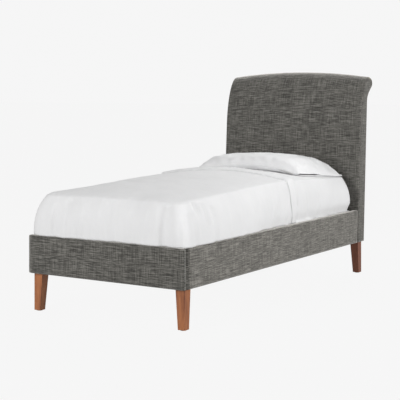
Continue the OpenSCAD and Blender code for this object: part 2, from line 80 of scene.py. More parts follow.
def curve(points, x):
    """Value at x on the straight lines joining a list of (x, value) points."""
    if x <= points[0][0]:
        return points[0][1]
    for (x0, v0), (x1, v1) in zip(points, points[1:]):
        if x <= x1:
            return lerp(v0, v1, (x - x0) / (x1 - x0))
    return points[-1][1]


def wave(x, y=0.0, seed=0.0):
    """Noise from -1 to 1."""
    return noise.noise(Vector((x, y, seed)))


def make_mesh(name, verts, faces, uvs=None):
    """Smooth-shaded piece, with a cloth coordinate per vertex where uvs are given."""
    mesh = bpy.data.meshes.new(name)
    mesh.from_pydata([tuple(v) for v in verts], [], faces)
    if uvs is not None:
        layer = mesh.uv_layers.new(name="cloth")
        for loop in mesh.loops:
            layer.data[loop.index].uv = uvs[loop.vertex_index]
    mesh.validate()
    mesh.shade_smooth()
    piece = bpy.data.objects.new(name, mesh)
    bpy.context.collection.objects.link(piece)
    return piece


def grid_faces(rows, cols, flip=False):
    """Quads of a rows x cols grid of vertices; flip turns them to face the other way."""
    faces = []
    for j in range(rows - 1):
        for i in range(cols - 1):
            a, b = j * cols + i, j * cols + i + 1
            c, d = b + cols, a + cols
            faces.append((a, d, c, b) if flip else (a, b, c, d))
    return faces


def solidify(piece, thickness, even=True):
    """Gives cloth its thickness, on the side that its faces look away from."""
    mod = piece.modifiers.new("thickness", "SOLIDIFY")
    mod.thickness = thickness
    mod.offset = -1.0
    mod.use_even_offset = even
    return piece


def dress(piece, material, body, replaces=()):
    """Gives a piece its material, body and slot, and the plain nodes it stands for."""
    piece.data.materials.clear()
    piece.data.materials.append(material)
    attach(piece, body)
    if replaces:
        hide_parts(*replaces)
    return piece


# ---------------------------------------------------------------------- materials

def new_material(name):
    """Empty material with one principled shader: (material, tree, shader)."""
    mat = bpy.data.materials.new(name)
    mat.use_nodes = True
    tree = mat.node_tree
    tree.nodes.clear()
    out = tree.nodes.new("ShaderNodeOutputMaterial")
    shader = tree.nodes.new("ShaderNodeBsdfPrincipled")
    tree.links.new(shader.outputs["BSDF"], out.inputs["Surface"])
    return mat, tree, shader


def node(tree, kind, **inputs):
    """New node; an underscore in an input's name stands for a space."""
    made = tree.nodes.new(kind)
    for key, value in inputs.items():
        made.inputs[key.replace("_", " ")].default_value = value
    return made


def math_node(tree, operation, a, b):
    """Output of a math node fed by two numbers or sockets."""
    made = tree.nodes.new("ShaderNodeMath")
    made.operation = operation
    for socket, value in zip(made.inputs, (a, b)):
        if isinstance(value, (int, float)):
            socket.default_value = value
        else:
            tree.links.new(value, socket)
    return made.outputs[0]


def stretched_noise(tree, coord, scale, detail=2.0, rough=0.55, distortion=0.0):
    """Noise whose grain is stretched by a different scale along each axis."""
    place = tree.nodes.new("ShaderNodeMapping")
    place.inputs["Scale"].default_value = scale
    tree.links.new(coord, place.inputs["Vector"])
    tex = node(tree, "ShaderNodeTexNoise", Scale=1.0, Detail=detail, Roughness=rough,
               Distortion=distortion)
    tree.links.new(place.outputs[0], tex.inputs["Vector"])
    return tex.outputs["Fac"]


def ramp(tree, value, stops):
    """Colour at value along (position, colour) stops."""
    made = tree.nodes.new("ShaderNodeValToRGB")
    band = made.color_ramp
    while len(band.elements) < len(stops):
        band.elements.new(0.5)
    for element, (at, colour) in zip(band.elements, stops):
        element.position = at
        element.color = (*colour, 1.0)
    tree.links.new(value, made.inputs[0])
    return made.outputs[0]


def bump(tree, shader, height, strength, distance):
    made = node(tree, "ShaderNodeBump", Strength=strength, Distance=distance)
    tree.links.new(height, made.inputs["Height"])
    tree.links.new(made.outputs[0], shader.inputs["Normal"])


def tweed(name, dark, mid, light):
    """Slubby woven cloth: long horizontal slubs, fainter upright ones and a fine weave."""
    mat, tree, shader = new_material(name)
    coord = tree.nodes.new("ShaderNodeTexCoord").outputs["UV"]
    across = stretched_noise(tree, coord, (8, 200, 1), 4, 0.65, 0.15)
    across_fine = stretched_noise(tree, coord, (22, 430, 1), 2, 0.6)
    upright = stretched_noise(tree, coord, (260, 9, 1), 4, 0.65, 0.15)
    patches = stretched_noise(tree, coord, (7, 9, 1), 2, 0.5)
    weave = stretched_noise(tree, coord, (620, 620, 1), 2, 0.6)
    total = math_node(tree, "MULTIPLY", across, 0.42)
    for part, share in ((across_fine, 0.32), (upright, 0.30), (patches, 0.04), (weave, 0.14)):
        total = math_node(tree, "ADD", total, math_node(tree, "MULTIPLY", part, share))
    colour = ramp(tree, total, ((0.540, dark), (0.612, mid), (0.688, light)))
    tree.links.new(colour, shader.inputs["Base Color"])
    height = math_node(tree, "ADD", math_node(tree, "MULTIPLY", across_fine, 0.5), weave)
    bump(tree, shader, height, 0.35, 0.0012)
    shader.inputs["Roughness"].default_value = 0.95
    shader.inputs["Specular IOR Level"].default_value = 0.15
    shader.inputs["Sheen Weight"].default_value = 0.75
    shader.inputs["Sheen Roughness"].default_value = 0.42
    shader.inputs["Sheen Tint"].default_value = (1.0, 0.97, 0.92, 1.0)
    return mat


def cotton(name, colour, weave_scale=900):
    """Plain-woven cotton, slightly cloudy and creased."""
    mat, tree, shader = new_material(name)
    coord = tree.nodes.new("ShaderNodeTexCoord").outputs["Object"]
    weave = stretched_noise(tree, coord, (weave_scale,) * 3, 1, 0.5)
    cloudy = stretched_noise(tree, coord, (5, 5, 5), 3, 0.5)
    crease = stretched_noise(tree, coord, (13, 13, 3.5), 3, 0.5, 0.3)
    pale = tuple(clamp(c * 1.02) for c in colour)
    dull = tuple(c * 0.955 for c in colour)
    mixed = math_node(tree, "ADD", math_node(tree, "MULTIPLY", cloudy, 0.7),
                      math_node(tree, "MULTIPLY", weave, 0.3))
    tree.links.new(ramp(tree, mixed, ((0.3, dull), (0.7, pale))), shader.inputs["Base Color"])
    height = math_node(tree, "ADD", math_node(tree, "MULTIPLY", weave, 0.02), crease)
    bump(tree, shader, height, 0.42, 0.017)
    shader.inputs["Roughness"].default_value = 0.85
    shader.inputs["Specular IOR Level"].default_value = 0.2
    shader.inputs["Sheen Weight"].default_value = 0.1
    return mat


def wood(name, dark, light, along=(30, 30, 2.2), rough=0.38, coat=0.25):
    """Straight-grained wood; along scales the grain on each axis, least along it."""
    mat, tree, shader = new_material(name)
    coord = tree.nodes.new("ShaderNodeTexCoord").outputs["Object"]
    grain = stretched_noise(tree, coord, along, 5, 0.62, 0.9)
    pores = stretched_noise(tree, coord, tuple(8 * s for s in along), 2, 0.6)
    mixed = math_node(tree, "ADD", math_node(tree, "MULTIPLY", grain, 0.75),
                      math_node(tree, "MULTIPLY", pores, 0.25))
    tree.links.new(ramp(tree, mixed, ((0.32, dark), (0.68, light))),
                   shader.inputs["Base Color"])
    bump(tree, shader, pores, 0.12, 0.0004)
    shader.inputs["Roughness"].default_value = rough
    shader.inputs["Coat Weight"].default_value = coat
    shader.inputs["Coat Roughness"].default_value = 0.25
    return mat


def plain(name, dark, light, rough, metallic=0.0, scale=40, height=0.0003):
    """Mottled stuff between two colours."""
    mat, tree, shader = new_material(name)
    coord = tree.nodes.new("ShaderNodeTexCoord").outputs["Object"]
    mottle = stretched_noise(tree, coord, (scale,) * 3, 4, 0.6)
    tree.links.new(ramp(tree, mottle, ((0.3, dark), (0.7, light))),
                   shader.inputs["Base Color"])
    bump(tree, shader, mottle, 0.25, height)
    shader.inputs["Roughness"].default_value = rough
    shader.inputs["Metallic"].default_value = metallic
    return mat


TWEED = tweed("grey_tweed", (0.039, 0.038, 0.034), (0.103, 0.099, 0.090),
              (0.222, 0.215, 0.195))
# lighter copy of the tweed for the side rails: painted light, the brighter light falling on the
# bed's side
TWEED_PAINTED_LIGHT = tweed("grey_tweed_painted_light", (0.054, 0.052, 0.046), (0.143, 0.137, 0.124),
                   (0.305, 0.293, 0.264))
# lighter copy of the tweed for the corner welts: painted highlight along the cords
TWEED_WELT_PAINTED_HIGHLIGHT = tweed("grey_tweed_welt_painted_highlight", (0.055, 0.054, 0.049), (0.15, 0.147, 0.136),
                   (0.30, 0.295, 0.27))
SHEETING = cotton("white_sheeting", (0.770, 0.770, 0.774))
TICKING = cotton("mattress_ticking", (0.78, 0.77, 0.73), 500)
# darker copy of the leg wood: painted shade, the shadow the bed casts on the back legs
LEG_WOOD_PAINTED_SHADE = wood("leg_wood_painted_shade", (0.13, 0.036, 0.014), (0.26, 0.085, 0.038))
LEG_WOOD = wood("stained_leg", (0.155, 0.043, 0.015), (0.50, 0.185, 0.066), (38, 38, 3.0))
SOFTWOOD = wood("raw_softwood", (0.52, 0.36, 0.19), (0.70, 0.54, 0.34), (14, 14, 60), 0.7, 0.0)
SLAT_WOOD = wood("raw_slat", (0.52, 0.36, 0.19), (0.72, 0.56, 0.36), (2.2, 40, 40), 0.7, 0.0)
PLY = wood("plywood", (0.45, 0.30, 0.16), (0.62, 0.45, 0.27), (20, 20, 20), 0.75, 0.0)
FOAM = plain("foam", (0.74, 0.66, 0.42), (0.86, 0.79, 0.55), 0.95, 0.0, 220, 0.0008)
ZINC = plain("zinc_steel", (0.42, 0.43, 0.44), (0.62, 0.63, 0.65), 0.38, 1.0, 60)
FELT = plain("glide_felt", (0.03, 0.026, 0.022), (0.07, 0.06, 0.05), 0.9, 0.0, 300)
WEBBING = plain("webbing", (0.66, 0.65, 0.6), (0.8, 0.79, 0.75), 0.9, 0.0, 400)

BY_SLOT = {"stained_wood": LEG_WOOD, "glide": FELT, "zinc_steel": ZINC, "webbing": WEBBING,
           "foam": FOAM, "upholstery": TWEED, "plywood": PLY, "softwood": SOFTWOOD,
           "ticking": TICKING, "sheeting": SHEETING}
for part in frame["record"]["subparts"]:
    made = BY_SLOT[part["material_slot"]]
    if part["node"].startswith("slat_") and part["material_slot"] == "softwood":
        made = SLAT_WOOD
    # the back legs take the darker copy of the leg wood, painted shade
    if part["node"].startswith("leg_back"):
        made = LEG_WOOD_PAINTED_SHADE
    slots = frame["nodes"][part["node"]].data.materials
    if len(slots):
        for k in range(len(slots)):
            slots[k] = made
    else:
        slots.append(made)


# ---------------------------------------------------------------- headboard cover

LEAN = math.tan(math.radians(3.3))    # how far the headboard leans back per metre up
HEAD_Y = 2.119              # front of the headboard at the rails' bottom, from FOOT_Y
HEAD_T = 0.103
HEAD_H = 1.333              # highest line at the ends
CROWN = 0.035               # how much higher it is in the middle
SWEEP_DROP = 0.335          # from the highest line to where the front starts to sweep back
SWEEP_REACH = 0.141         # and how far back it sweeps
NOSE_R = 0.032
NOSE = (0.027, 0.041)       # nose's centre behind and below the highest line
UNDER_DROP = 0.168          # from the highest line to where the hollow meets the back
SHOULDER = 75               # where the roll runs into the nose's arc, in degrees
TIP = -50                   # where the arc runs out under the nose, in degrees
SWEEP_Z = HEAD_H - SWEEP_DROP


def bezier(a, b, c, d, n):
    """Cubic curve from a to d as n + 1 points."""
    out = []
    for i in range(n + 1):
        t = i / n
        s = 1 - t
        out.append(tuple(s**3 * a[k] + 3 * s * s * t * b[k] + 3 * s * t * t * c[k]
                         + t**3 * d[k] for k in (0, 1)))
    return out


def front_y(z):
    return FOOT_Y + HEAD_Y + LEAN * (z - RAIL_LOW)


def rear_y(z):
    return front_y(z) + HEAD_T / math.cos(math.atan(LEAN))


def head_outlines():
    """Side outlines of the headboard: front with the sweep, hollow under the nose, back."""
    start = (front_y(SWEEP_Z), SWEEP_Z)
    crest = (front_y(SWEEP_Z) + SWEEP_REACH, HEAD_H)
    nose = (crest[0] + NOSE[0], crest[1] - NOSE[1])
    rise, reach = crest[1] - start[1], crest[0] - start[0]

    def on_nose(degrees):
        a = math.radians(degrees)
        return nose[0] + NOSE_R * math.cos(a), nose[1] + NOSE_R * math.sin(a)

    shoulder = on_nose(SHOULDER)
    handle = 0.36 * (shoulder[0] - crest[0])
    flat = [(front_y(z), z) for z in
            [RAIL_LOW + (SWEEP_Z - RAIL_LOW) * i / 26 for i in range(26)]]
    sweep = bezier(start, (start[0] + 0.55 * rise * LEAN, start[1] + 0.55 * rise),
                   (crest[0] - 0.5 * reach, crest[1]), crest, 40)
    roll = bezier(crest, (crest[0] + handle, crest[1]),
                  (shoulder[0] - handle * math.sin(math.radians(SHOULDER)),
                   shoulder[1] + handle * math.cos(math.radians(SHOULDER))), shoulder, 8)[1:]
    tip = on_nose(TIP)
    nose_arc = [on_nose(a) for a in range(65, TIP - 1, -9)] + [tip]
    under_z = HEAD_H - UNDER_DROP
    foot = (rear_y(under_z), under_z)
    run = 0.6 * (tip[0] - foot[0])
    away = math.radians(90 + TIP)
    hollow = bezier(tip, (tip[0] - 1.25 * run * math.cos(away),
                          tip[1] - 1.25 * run * math.sin(away)),
                    (foot[0] + run * LEAN, foot[1] + run), foot, 22)
    back = [(rear_y(z), z) for z in
            [under_z + (RAIL_LOW - under_z) * i / 30 for i in range(31)]]
    return flat + sweep + roll + nose_arc, hollow, back


def crowned(y, z, x):
    """The outline's point raised by the crown at x, which fades out down the sweep."""
    lift = CROWN * (1 - (x / HALF_W) ** 2) * smooth((z - SWEEP_Z) / (0.75 * SWEEP_DROP))
    return y, z + lift


def outline_normals(path):
    """Outward (y, z) directions along an outline."""
    out = []
    for i in range(len(path)):
        a, b = path[max(i - 1, 0)], path[min(i + 1, len(path) - 1)]
        ty, tz = b[0] - a[0], b[1] - a[1]
        size = math.hypot(ty, tz) or 1
        out.append((-tz / size, ty / size))
    return out


def lengths(path):
    """Distance run at each point of a path."""
    total, out = 0.0, [0.0]
    for a, b in zip(path, path[1:]):
        total += math.hypot(b[0] - a[0], b[1] - a[1])
        out.append(total)
    return out


EDGE_R = 0.0048
PUFF = 0.0015               # how far out from the outline the cloth is drawn
SEAM = (0.0016, 0.0058)     # the seam's place in from the end and in from the surface


def edge_stations(count=60):
    """(x, inset) across the headboard: seam, rounded edge, even steps and back again."""
    span = HALF_W - EDGE_R
    left = [(-(HALF_W - SEAM[0]), SEAM[1])]
    for k in range(6):
        a = math.radians(90 - 15 * k)
        left.append((-(span + EDGE_R * math.sin(a)), EDGE_R * (1 - math.cos(a))))
    left.append((-span, 0.0))
    middle = [(-span + 2 * span * k / count, 0.0) for k in range(1, count)]
    return left + middle + [(-x, inset) for x, inset in reversed(left)]


def loft(name, path, v0, seed, soft):
    """Cloth stretched across the headboard over a side outline. Its cloth coordinate starts
    at v0 and soft is its unevenness."""
    normals, run = outline_normals(path), lengths(path)
    stations = edge_stations()
    verts, uvs = [], []
    for x, inset in stations:
        for (y, z), (ny, nz), s in zip(path, normals, run):
            ripple = soft * wave(3.1 * x, 3.1 * s + 5 * seed, seed)
            out = PUFF - inset + ripple * smooth((HALF_W - abs(x)) / 0.08)
            cy, cz = crowned(y, z, x)
            verts.append((x, cy + ny * out, cz + nz * out))
            uvs.append((x, v0 + s))
    return make_mesh(name, verts, grid_faces(len(stations), len(path), flip=True), uvs)


FRONT, HOLLOW, BACK = head_outlines()

for name, outline, v0, seed, soft, replaced in (
        ("head_cover_fabric", FRONT, 0.0, 0.0, 0.0012, "head_cover"),
        ("scroll_back_fabric", HOLLOW, 1.4, 2.0, 0.0006, "scroll_back_cover"),
        ("head_back_fabric", BACK, 1.6, 3.0, 0.0012, "head_back_cover")):
    cover = loft(name, outline, v0, seed, soft)
    dress(solidify(cover, UPHOLSTERY_T), TWEED, "bed_frame", [replaced])


def resampled(path, count):
    """The path as count + 1 points equally far apart."""
    run, out = lengths(path), []
    for i in range(count + 1):
        want = run[-1] * i / count
        k = 0
        while k < len(path) - 2 and run[k + 1] < want:
            k += 1
        t = (want - run[k]) / ((run[k + 1] - run[k]) or 1)
        out.append(tuple(lerp(a, b, t) for a, b in zip(path[k], path[k + 1])))
    return out


# the end panel's cloth from its seam inwards: (distance from the seam, outwards)
END_PROFILE = [(0.0, -0.0016), (0.0006, -0.0010), (0.0018, 0.0002), (0.0050, 0.0010),
               (0.0100, 0.0014), (0.0180, 0.0017)]


def head_end(side, name, replaced):
    """End panel of the headboard, its rim turned in to the seam with the covers."""
    count, tuck = 150, 0.0052
    sunk = 0.0010               # how far in the panel lies where it narrows to nothing

    def inside(path):
        return [(y - ny * tuck, max(z - nz * tuck, RAIL_LOW + 0.001))
                for (y, z), (ny, nz) in zip(path, outline_normals(path))]

    front = resampled(inside(FRONT), count)
    rear = resampled(inside(HOLLOW + BACK[1:]), count)[::-1]
    verts, uvs = [], []
    for (fy, fz), (ry, rz) in zip(front, rear):
        width = math.hypot(ry - fy, rz - fz)
        share = min(1.0, width / 0.05)
        steps = [(d * share / max(width, 1e-6), x * share - sunk * (1 - share))
                 for d, x in END_PROFILE]
        across = steps + [(0.5, 0.0018 * share - sunk * (1 - share))]
        across += [(1 - u, x) for u, x in reversed(steps)]
        for u, x in across:
            y, z = lerp(fy, ry, u), lerp(fz, rz, u)
            verts.append((side * (HALF_W + x), y, z))
            uvs.append((y, z))
    cols = 2 * len(END_PROFILE) + 1
    piece = make_mesh(name, verts, grid_faces(count + 1, cols, flip=side < 0), uvs)
    return dress(solidify(piece, 0.0010), TWEED, "bed_frame", [replaced])


head_end(1, "head_end_fabric_right", "head_end_right")
head_end(-1, "head_end_fabric_left", "head_end_left")


# --------------------------------------------------------------------- rail covers

def rounded_profile(width, height, radius, steps=6):
    """Up the outer face, over the top and down the inner face: (inwards, up) points."""
    path = [(0.0, height * i / 12) for i in range(12)]
    path += [(radius - radius * math.cos(math.radians(90 * i / steps)),
              height - radius + radius * math.sin(math.radians(90 * i / steps)))
             for i in range(steps + 1)]
    path += [(radius + (width - 2 * radius) * i / 4, height) for i in range(1, 4)]
    path += [(width - radius + radius * math.sin(math.radians(90 * i / steps)),
              height - radius + radius * math.cos(math.radians(90 * i / steps)))
             for i in range(steps + 1)]
    path += [(width, height - radius - (height - radius) * i / 8) for i in range(1, 9)]
    return path


RAIL_PROFILE = rounded_profile(RAIL_T, RAIL_TOP - RAIL_LOW, 0.0065)
OUTER_FACE = 0.004          # what lies less far in than this is the outer face


def side_rail(side, name, replaced):
    """Side rail's cover, from the foot rail to the leaning headboard."""
    run = lengths(RAIL_PROFILE)
    start, count = FOOT_Y + RAIL_T, 130
    verts, uvs = [], []
    for k in range(count + 1):
        t = k / count
        for (inwards, up), s in zip(RAIL_PROFILE, run):
            z = RAIL_LOW + up
            y = lerp(start, front_y(z) - 0.0015, t)
            tight = 0.35 + 0.65 * smooth(min(t, 1 - t) / 0.02)
            face = 1 if inwards < OUTER_FACE else 0
            out = (0.0010 + 0.0012 * wave(4 * y, 9 * up, 7.0 + side)) * tight * face
            if t == 0.0:
                out -= 0.001
            verts.append((side * (RAIL_X - inwards + out), y, z))
            uvs.append((y, s))
    faces = grid_faces(count + 1, len(RAIL_PROFILE), flip=side < 0)
    piece = solidify(make_mesh(name, verts, faces, uvs), UPHOLSTERY_T)
    # the side rails take the lighter copy of the tweed, painted light
    return dress(piece, TWEED_PAINTED_LIGHT, "bed_frame", [replaced])


side_rail(1, "side_rail_fabric_right", "side_cover_right")
side_rail(-1, "side_rail_fabric_left", "side_cover_left")


def foot_rail():
    """Foot rail's cover, drawn in at its ends to the welts."""
    run = lengths(RAIL_PROFILE)
    half, count = HALF_W - 0.0045, 80
    verts, uvs = [], []
    for k in range(count + 1):
        x = -half + 2 * half * k / count
        for (inwards, up), s in zip(RAIL_PROFILE, run):
            face = 1 if inwards < OUTER_FACE else 0
            edge = smooth((half - abs(x)) / 0.012)
            out = (0.0012 + 0.0012 * wave(4 * x, 9 * up, 4.0)) * face * edge
            dip = 0.003 * (1 - edge) * face
            verts.append((x, FOOT_Y + inwards - out + dip, RAIL_LOW + up))
            uvs.append((x, s))
    piece = make_mesh("foot_rail_fabric", verts, grid_faces(count + 1, len(RAIL_PROFILE)), uvs)
    return dress(solidify(piece, UPHOLSTERY_T), TWEED, "bed_frame",
                 ["foot_cover", "foot_foam"])


foot_rail()


def foot_end(side, name, replaced):
    """End panel of the foot rail, drawn in to a groove between the welt and the side rail."""
    plan = [(0.0062, 0.0045), (0.0085, 0.0062), (0.012, 0.0100), (0.017, 0.0122),
            (0.022, 0.0124), (0.027, 0.0115), (0.031, 0.0085), (0.034, 0.0055),
            (0.0362, 0.0036), (0.0374, 0.0042), (0.0378, 0.0090)]
    rows, height = 26, RAIL_TOP - RAIL_LOW
    verts, uvs = [], []
    for j in range(rows + 1):
        t = j / rows
        turn = smooth((t - 0.955) / 0.045) * 0.6
        z = RAIL_LOW + (height - 0.0005) * t
        for dy, dx in plan:
            verts.append((side * (HALF_W - dx - 0.006 * turn), FOOT_Y + dy, z))
            uvs.append((dy, t * 0.213))
    piece = make_mesh(name, verts, grid_faces(rows + 1, len(plan), flip=side < 0), uvs)
    return dress(solidify(piece, 0.0012), TWEED, "bed_frame", [replaced])


foot_end(1, "foot_end_fabric_right", "foot_end_right")
foot_end(-1, "foot_end_fabric_left", "foot_end_left")


def corner_welts():
    """Fabric-covered cords down the foot rail's corners."""
    verts, faces, uvs = [], [], []
    radius, sides, rows = 0.0035, 14, 60
    for side in (-1, 1):
        first = len(verts)
        for j in range(rows + 1):
            z = RAIL_LOW + (RAIL_TOP - RAIL_LOW) * j / rows
            end = min(1.0, math.sqrt(clamp(min(j, rows - j) / 2.0)) + 0.35)
            r = radius * end * (1 + 0.03 * wave(60 * z, side))
            for i in range(sides):
                a = 2 * math.pi * i / sides
                verts.append((side * (HALF_W - radius) + r * math.cos(a),
                              FOOT_Y + radius + r * math.sin(a), z))
                uvs.append((radius * a, z))
        for j in range(rows):
            for i in range(sides):
                a, b = first + j * sides + i, first + j * sides + (i + 1) % sides
                faces.append((a, b, b + sides, a + sides))
        faces.append(tuple(range(first + sides - 1, first - 1, -1)))
        top = first + rows * sides
        faces.append(tuple(range(top, top + sides)))
    piece = make_mesh("foot_welt_cords", verts, faces, uvs)
    # the welts take the lighter copy of the tweed, a painted highlight
    return dress(piece, TWEED_WELT_PAINTED_HIGHLIGHT, "bed_frame", ["foot_welts"])


corner_welts()


# ------------------------------------------------------------------------- bedding

EDGE_X = 0.455              # where the mattress's top starts to turn down, from the middle
EDGE_FOOT = 0.085           # the same at the foot and at the head, from FOOT_Y
EDGE_HEAD = 2.066
EDGE_CORNER = 0.040         # radius of the top's corners in plan
SKIRT_LOW = RAIL_TOP + 0.0015   # where the hanging cloth turns in over the rails
TUCK_X = 0.4832             # where the cloth goes down inside the rails
TUCK_FOOT = 0.0545
TUCK_HEAD = 2.093
TUCK_Z = RAIL_TOP - 0.045
HEM_Y = 1.280               # head end of the top sheet
# along the bed, each against y from FOOT_Y: height of the middle, fall of the sides per
# square metre, how far the sides hang out past EDGE_X, and how much they are tucked in again
CENTRE_HEIGHT = [(0.085, 0.671), (0.14, 0.683), (0.2, 0.691), (0.36, 0.706), (0.56, 0.719),
                 (0.76, 0.729), (1.0, 0.7345), (1.28, 0.7320), (1.5, 0.723), (1.73, 0.713),
                 (1.87, 0.708), (2.07, 0.697)]
CROSS_FALL = [(0.085, 0.05), (0.2, 0.12), (0.4, 0.19), (0.6, 0.225), (2.07, 0.205)]
SIDE_BULGE = [(0.08, 0.068), (0.25, 0.066), (0.6, 0.062), (0.9, 0.052), (1.28, 0.034),
              (1.7, 0.037), (1.95, 0.054), (2.07, 0.060)]
SIDE_TUCKED = [(0.1, 0.0), (0.6, 0.04), (0.95, 0.16), (1.28, 0.38), (2.07, 0.40)]
CRISP = 0.016               # how far the flat top runs on before the foot end's edge


def top_height(x, y):
    """Height of the bed's domed top."""
    return curve(CENTRE_HEIGHT, y) - curve(CROSS_FALL, y) * x * x


def ring_point(q):
    """Point and outward normal at q, from 0 to 4, round the top edge, and the corner share."""
    side, f = int(q) % 4, (q - int(q)) * 2 - 1
    a, b = EDGE_X, (EDGE_HEAD - EDGE_FOOT) / 2
    mid = (EDGE_HEAD + EDGE_FOOT) / 2
    along, away = (b, a) if side % 2 == 0 else (a, b)
    r = EDGE_CORNER
    arc = r * math.pi / 4
    straight = (along - r) / (along - r + arc)
    if abs(f) <= straight:
        p, n, c = (f / straight * (along - r), away), (0.0, 1.0), 0.0
    else:
        t = (abs(f) - straight) / (1 - straight) * math.pi / 4
        sign = 1 if f > 0 else -1
        p = (sign * (along - r + r * math.sin(t)), away - r + r * math.cos(t))
        n = (sign * math.sin(t), math.cos(t))
        c = t / (math.pi / 4)
    # side 0 faces +X, 1 faces +Y, 2 faces -X, 3 faces -Y; going anticlockwise
    turn = [((p[1], p[0]), (n[1], n[0])), ((-p[0], p[1]), (-n[0], n[1])),
            ((-p[1], -p[0]), (-n[1], -n[0])), ((p[0], -p[1]), (n[0], -n[1]))][side]
    (x, y), normal = turn
    return x, y + mid, normal, c


def bulge(x, y, normal, corner):
    """How far the skirt stands out past the top's edge."""
    side = curve(SIDE_BULGE, y)
    foot = 0.078 - 0.003 * math.cos(x * 9)
    head = 0.040
    wx, wy = abs(normal[0]), abs(normal[1])
    end = foot if normal[1] < 0 else head
    return (side * wx**2 + end * wy**2) + (0.020 if normal[1] < 0 else 0.004) * corner


# upright tucks: place round the edge from the foot's right corner, top, bottom, depth, width
CORNER_TUCKS = [(0.050, 0.02, 0.36, 0.021, 0.009), (0.078, 0.05, 0.32, 0.017, 0.009),
                (5.635, 0.06, 1.20, 0.015, 0.034), (5.30, 0.10, 1.10, 0.008, 0.030),
                (0.014, 0.25, 1.20, 0.012, 0.016), (0.135, 0.10, 0.75, 0.009, 0.018),
                (0.21, 0.20, 1.10, 0.008, 0.022), (5.00, 0.10, 1.10, 0.007, 0.022),
                (4.90, 0.30, 1.10, 0.006, 0.018)]


def folds(s, t):
    """Upright folds of a hanging skirt: s along it and t from its top to its bottom."""
    lean = s + 0.035 * t * wave(1.7 * s, 0.3, 9.0)
    ridge = abs(wave(5.2 * lean, 0.35 * t))
    deep = 0.55 - min(ridge * 2.4, 1.0)
    patch = smooth(0.5 + 1.4 * wave(2.1 * s, 0.9 * t, 6.0))
    fine = wave(14 * lean, 0.6 * t, 3.0) * patch
    tiny = wave(36 * lean, 1.2 * t, 5.0) * patch
    size = 0.25 + 0.75 * curve([(0, 0.4), (2.0, 1.0), (4.0, 0.6), (6.2, 0.9)], s)
    tucks = 0.0
    for at, high, low, depth, wide in CORNER_TUCKS:
        near = math.exp(-(((s - at - 0.03 * (t - high)) / wide) ** 2))
        tucks -= depth * near * smooth((t - high) / 0.06) * smooth((low - t) / 0.12)
    return (0.0110 * deep + 0.0150 * fine + 0.0060 * tiny) * size * smooth(t * 1.5) + tucks


def creases(x, y):
    """Low wrinkles on the flat of the bed, strongest near the pillow and the edges."""
    broad = wave(2.3 * x + 0.6 * y, 1.9 * y, 21.0)
    fine = wave(9.0 * x - 2.0 * y, 4.0 * y, 22.0)
    near = 0.35 + 0.65 * smooth((y - 1.1) / 0.7)
    long = 1 - abs(wave(6.0 * x + 3.0 * y, 2.0 * y, 23.0)) * 3.0
    return 0.0034 * broad + 0.0022 * fine * near + 0.0028 * max(long, 0.0) * near


# rings down the skirt, from just under its top at 0 to its bottom at 1
STATIONS = [0.02, 0.045, 0.075, 0.11, 0.15, 0.20, 0.26, 0.33, 0.41, 0.49, 0.57, 0.65, 0.72,
            0.79, 0.85, 0.90, 0.94, 0.97, 1.0]
# rings below that, and each one's share of the way down inside the rails
TUCKED = {1.1: 0.0, 1.2: 0.25, 1.35: 1.0}
RINGS = 80                  # rings of the top, from its middle to its edge


